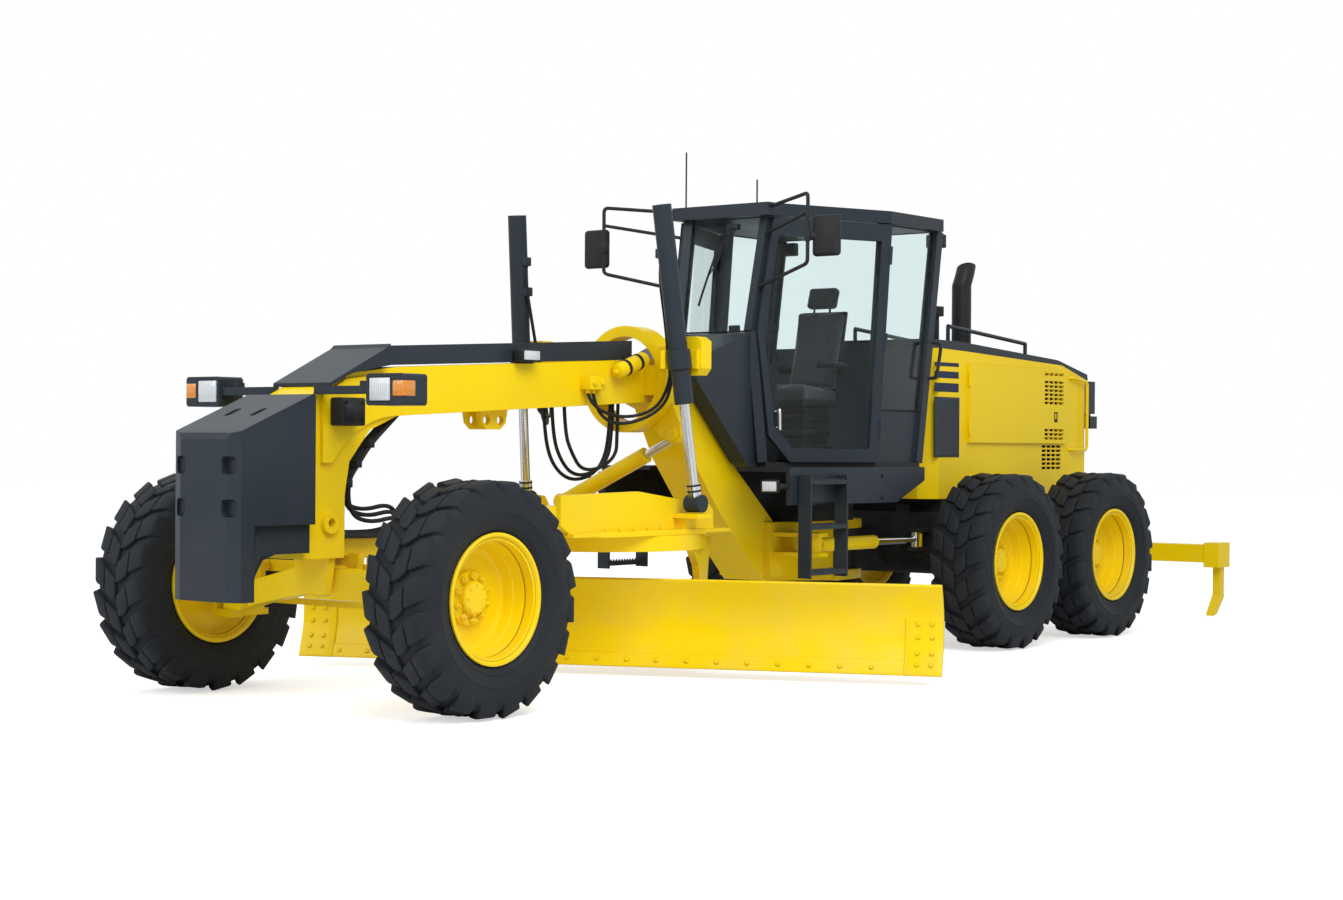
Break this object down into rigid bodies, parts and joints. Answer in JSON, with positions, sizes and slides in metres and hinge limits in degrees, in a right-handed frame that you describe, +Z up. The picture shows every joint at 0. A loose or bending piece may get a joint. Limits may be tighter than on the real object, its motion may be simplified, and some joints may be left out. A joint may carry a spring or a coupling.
{
  "type": "motor grader",
  "caption": "Motor grader: tandem-drive road machine with an articulated frame, arched beam, circle-mounted blade, hexagonal cab, engine hood and rear ripper.",
  "frame": {"origin": "bottom centre of the machine's box at rest, on the ground", "axes": "+X forward, +Y to the operator's left, +Z up"},
  "size_m": [10.61, 4.0382, 3.5887],
  "materials": {
    "yellow_paint": "gloss",
    "dark_paint": "satin",
    "tyre": "matte",
    "chrome": "polished",
    "glass": "clear",
    "seat": "matte",
    "black_steel": "satin",
    "black_plastic": "matte"
  },
  "bodies": {
    "front": {"front_frame": "yellow_paint", "frame_covers": "dark_paint", "push_block": "dark_paint", "headlamp_bar": "dark_paint", "saddle": "yellow_paint", "lift_barrels": "dark_paint", "cab_base": "black_steel", "cab_frame": "dark_paint", "cab_glass": "glass", "seat": "seat", "console": "black_plastic", "mirrors": "black_plastic", "steps": "dark_paint"},
    "cab_door_left": {"cab_door_left": "dark_paint", "door_glass_left": "glass"},
    "cab_door_right": {"cab_door_right": "dark_paint", "door_glass_right": "glass"},
    "axle": {"front_axle": "yellow_paint"},
    "lean_left": {"lean_bracket_left": "yellow_paint"},
    "lean_right": {"lean_bracket_right": "yellow_paint"},
    "spindle_left": {"spindle_left": "yellow_paint"},
    "spindle_right": {"spindle_right": "yellow_paint"},
    "lean_bar": {"lean_bar": "yellow_paint"},
    "tie_end": {"tie_rod_end": "yellow_paint"},
    "tie_rod": {"tie_rod": "yellow_paint"},
    "drawbar": {"drawbar": "yellow_paint"},
    "lift_rod_left": {"lift_rod_left": "chrome"},
    "lift_rod_right": {"lift_rod_right": "chrome"},
    "centre_rod": {"centre_rod": "chrome"},
    "centre_barrel": {"centre_barrel": "yellow_paint"},
    "circle": {"circle": "yellow_paint"},
    "tilt": {"tilt_frame": "yellow_paint"},
    "blade": {"moldboard": "yellow_paint"},
    "rear": {"rear_frame": "black_steel", "engine": "black_steel", "hood": "yellow_paint", "hood_top": "dark_paint", "exhaust": "black_steel", "rear_grille": "black_steel"},
    "ripper": {"ripper": "yellow_paint"},
    "wheel_front_left": {"tyre_front_left": "tyre", "rim_front_left": "yellow_paint"},
    "wheel_middle_left": {"tyre_middle_left": "tyre", "rim_middle_left": "yellow_paint"},
    "wheel_rear_left": {"tyre_rear_left": "tyre", "rim_rear_left": "yellow_paint"},
    "tandem_left": {"tandem_left": "yellow_paint"},
    "hood_door_left": {"hood_door_left": "yellow_paint"},
    "artic_barrel_left": {"artic_barrel_left": "yellow_paint"},
    "artic_rod_left": {"artic_rod_left": "chrome"},
    "wheel_front_right": {"tyre_front_right": "tyre", "rim_front_right": "yellow_paint"},
    "wheel_middle_right": {"tyre_middle_right": "tyre", "rim_middle_right": "yellow_paint"},
    "wheel_rear_right": {"tyre_rear_right": "tyre", "rim_rear_right": "yellow_paint"},
    "tandem_right": {"tandem_right": "yellow_paint"},
    "hood_door_right": {"hood_door_right": "yellow_paint"},
    "artic_barrel_right": {"artic_barrel_right": "yellow_paint"},
    "artic_rod_right": {"artic_rod_right": "chrome"}
  },
  "joints": [
    {"name": "articulation", "type": "hinge", "parent": "front", "child": "rear", "pos_m": [-0.985, -0.22269, 0.72371], "axis": [0, 0, 1], "range_deg": [-25, 25]},
    {"name": "artic_barrel_left_swing", "type": "hinge", "parent": "front", "child": "artic_barrel_left", "pos_m": [0.139, 0.27731, 0.79371], "axis": [0, 0, 1], "range_deg": [-4.08, 4.08]},
    {"name": "artic_rod_left_slide", "type": "slide", "parent": "artic_barrel_left", "child": "artic_rod_left", "axis": [-1, 0, 0], "range_m": [-0.2224, 0.2224]},
    {"name": "artic_barrel_right_swing", "type": "hinge", "parent": "front", "child": "artic_barrel_right", "pos_m": [0.139, -0.72269, 0.79371], "axis": [0, 0, 1], "range_deg": [-4.08, 4.08]},
    {"name": "artic_rod_right_slide", "type": "slide", "parent": "artic_barrel_right", "child": "artic_rod_right", "axis": [-1, 0, 0], "range_m": [-0.2224, 0.2224]},
    {"name": "axle_oscillation", "type": "hinge", "parent": "front", "child": "axle", "pos_m": [4.365, -0.22269, 0.69871], "axis": [1, 0, 0], "range_deg": [-16, 16]},
    {"name": "wheel_lean", "type": "hinge", "parent": "axle", "child": "lean_left", "pos_m": [4.365, 0.46731, 0.55871], "axis": [-1, 0, 0], "range_deg": [-18, 18]},
    {"name": "lean_right", "type": "hinge", "parent": "axle", "child": "lean_right", "pos_m": [4.365, -0.91269, 0.55871], "axis": [-1, 0, 0], "range_deg": [-18.72, 18.72]},
    {"name": "lean_bar_hinge", "type": "hinge", "parent": "lean_left", "child": "lean_bar", "pos_m": [4.205, 0.46731, 0.75871], "axis": [-1, 0, 0], "range_deg": [-18.72, 18.72]},
    {"name": "steering", "type": "hinge", "parent": "lean_left", "child": "spindle_left", "pos_m": [4.365, 0.60731, 0.55871], "axis": [0, 0, 1], "range_deg": [-45, 45]},
    {"name": "steering_right", "type": "hinge", "parent": "lean_right", "child": "spindle_right", "pos_m": [4.365, -1.05269, 0.55871], "axis": [0, 0, 1], "range_deg": [-46.8, 46.8]},
    {"name": "tie_rod_end_turn", "type": "hinge", "parent": "spindle_left", "child": "tie_end", "pos_m": [4.135, 0.60731, 0.54671], "axis": [0, 0, 1], "range_deg": [-46.8, 46.8]},
    {"name": "tie_rod_hinge", "type": "hinge", "parent": "tie_end", "child": "tie_rod", "pos_m": [4.135, 0.60731, 0.54671], "axis": [-1, 0, 0], "range_deg": [-15.61, 15.61]},
    {"name": "wheel_front_left_spin", "type": "hinge", "parent": "spindle_left", "child": "wheel_front_left", "pos_m": [4.365, 0.89731, 0.65171], "axis": [0, 1, 0], "continuous": true},
    {"name": "wheel_middle_left_spin", "type": "hinge", "parent": "tandem_left", "child": "wheel_middle_left", "pos_m": [-1.3675, 0.89731, 0.65171], "axis": [0, 1, 0], "continuous": true},
    {"name": "wheel_rear_left_spin", "type": "hinge", "parent": "tandem_left", "child": "wheel_rear_left", "pos_m": [-2.8925, 0.89731, 0.65171], "axis": [0, 1, 0], "continuous": true},
    {"name": "tandem_left_rock", "type": "hinge", "parent": "rear", "child": "tandem_left", "pos_m": [-2.13, 0.49731, 0.65171], "axis": [0, -1, 0], "range_deg": [-12, 12]},
    {"name": "wheel_front_right_spin", "type": "hinge", "parent": "spindle_right", "child": "wheel_front_right", "pos_m": [4.365, -1.34269, 0.65171], "axis": [0, 1, 0], "continuous": true},
    {"name": "wheel_middle_right_spin", "type": "hinge", "parent": "tandem_right", "child": "wheel_middle_right", "pos_m": [-1.3675, -1.34269, 0.65171], "axis": [0, 1, 0], "continuous": true},
    {"name": "wheel_rear_right_spin", "type": "hinge", "parent": "tandem_right", "child": "wheel_rear_right", "pos_m": [-2.8925, -1.34269, 0.65171], "axis": [0, 1, 0], "continuous": true},
    {"name": "tandem_right_rock", "type": "hinge", "parent": "rear", "child": "tandem_right", "pos_m": [-2.13, -0.94269, 0.65171], "axis": [0, 1, 0], "range_deg": [-12, 12]},
    {"name": "blade_lift", "type": "hinge", "parent": "front", "child": "drawbar", "pos_m": [3.965, -0.22269, 0.79871], "axis": [0, 1, 0], "range_deg": [-18, 13]},
    {"name": "lift_rod_left_slide", "type": "slide", "parent": "front", "child": "lift_rod_left", "axis": [0.1226, -0.0568, 0.9908], "range_m": [-0.7085, 0.5182]},
    {"name": "lift_rod_right_slide", "type": "slide", "parent": "front", "child": "lift_rod_right", "axis": [0.1226, 0.0568, 0.9908], "range_m": [-0.7085, 0.5182]},
    {"name": "centre_rod_swing", "type": "hinge", "parent": "front", "child": "centre_rod", "pos_m": [1.48, 0.10731, 1.56371], "axis": [-1, 0, 0], "range_deg": [-36.31, 26.56]},
    {"name": "centre_barrel_slide", "type": "slide", "parent": "centre_rod", "child": "centre_barrel", "axis": [0, -0.9096, -0.4155], "range_m": [-0.2139, 0.2925]},
    {"name": "circle_turn", "type": "hinge", "parent": "drawbar", "child": "circle", "pos_m": [1.965, -0.22269, 0.86871], "axis": [0, 0, 1], "range_deg": [-66, 20]},
    {"name": "blade_tip", "type": "hinge", "parent": "circle", "child": "tilt", "pos_m": [1.90977, -0.24614, 0.29871], "axis": [-0.3907, 0.9205, 0], "range_deg": [-8, 35]},
    {"name": "blade_shift", "type": "slide", "parent": "tilt", "child": "blade", "axis": [-0.3907, 0.9205, 0], "range_m": [-0.98, 0.66]},
    {"name": "ripper_lift", "type": "hinge", "parent": "rear", "child": "ripper", "pos_m": [-4.085, -0.22269, 0.89871], "axis": [0, 1, 0], "range_deg": [-25, 12]},
    {"name": "cab_door_left_swing", "type": "hinge", "parent": "front", "child": "cab_door_left", "pos_m": [-0.23248, 0.56348, 1.38013], "axis": [-0.0972, 0, 0.9953], "range_deg": [0, 90]},
    {"name": "hood_door_left_swing", "type": "hinge", "parent": "rear", "child": "hood_door_left", "pos_m": [-1.785, 0.40231, 1.83871], "axis": [0, 0, -1], "range_deg": [0, 85]},
    {"name": "cab_door_right_swing", "type": "hinge", "parent": "front", "child": "cab_door_right", "pos_m": [-0.23248, -1.00886, 1.38013], "axis": [0.0972, 0, -0.9953], "range_deg": [0, 90]},
    {"name": "hood_door_right_swing", "type": "hinge", "parent": "rear", "child": "hood_door_right", "pos_m": [-1.785, -0.84769, 1.83871], "axis": [0, 0, 1], "range_deg": [0, 85]}
  ],
  "couplings": [
    {"joint": "artic_barrel_left_swing", "follows": "articulation", "ratio": 0.157},
    {"joint": "artic_rod_left_slide", "follows": "articulation", "m_per_rad": 0.49},
    {"joint": "artic_barrel_right_swing", "follows": "articulation", "ratio": 0.157},
    {"joint": "artic_rod_right_slide", "follows": "articulation", "m_per_rad": -0.49},
    {"joint": "lean_right", "follows": "wheel_lean", "ratio": 1},
    {"joint": "lean_bar_hinge", "follows": "wheel_lean", "ratio": -1},
    {"joint": "steering_right", "follows": "steering", "ratio": 1},
    {"joint": "tie_rod_end_turn", "follows": "steering", "ratio": -1},
    {"joint": "tie_rod_hinge", "follows": "wheel_lean", "ratio": -0.834},
    {"joint": "lift_rod_left_slide", "follows": "blade_lift", "m_per_rad": 2.18},
    {"joint": "lift_rod_right_slide", "follows": "blade_lift", "m_per_rad": 2.18},
    {"joint": "centre_rod_swing", "follows": "blade_lift", "ratio": 1.95},
    {"joint": "centre_barrel_slide", "follows": "blade_lift", "m_per_rad": -0.9}
  ]
}
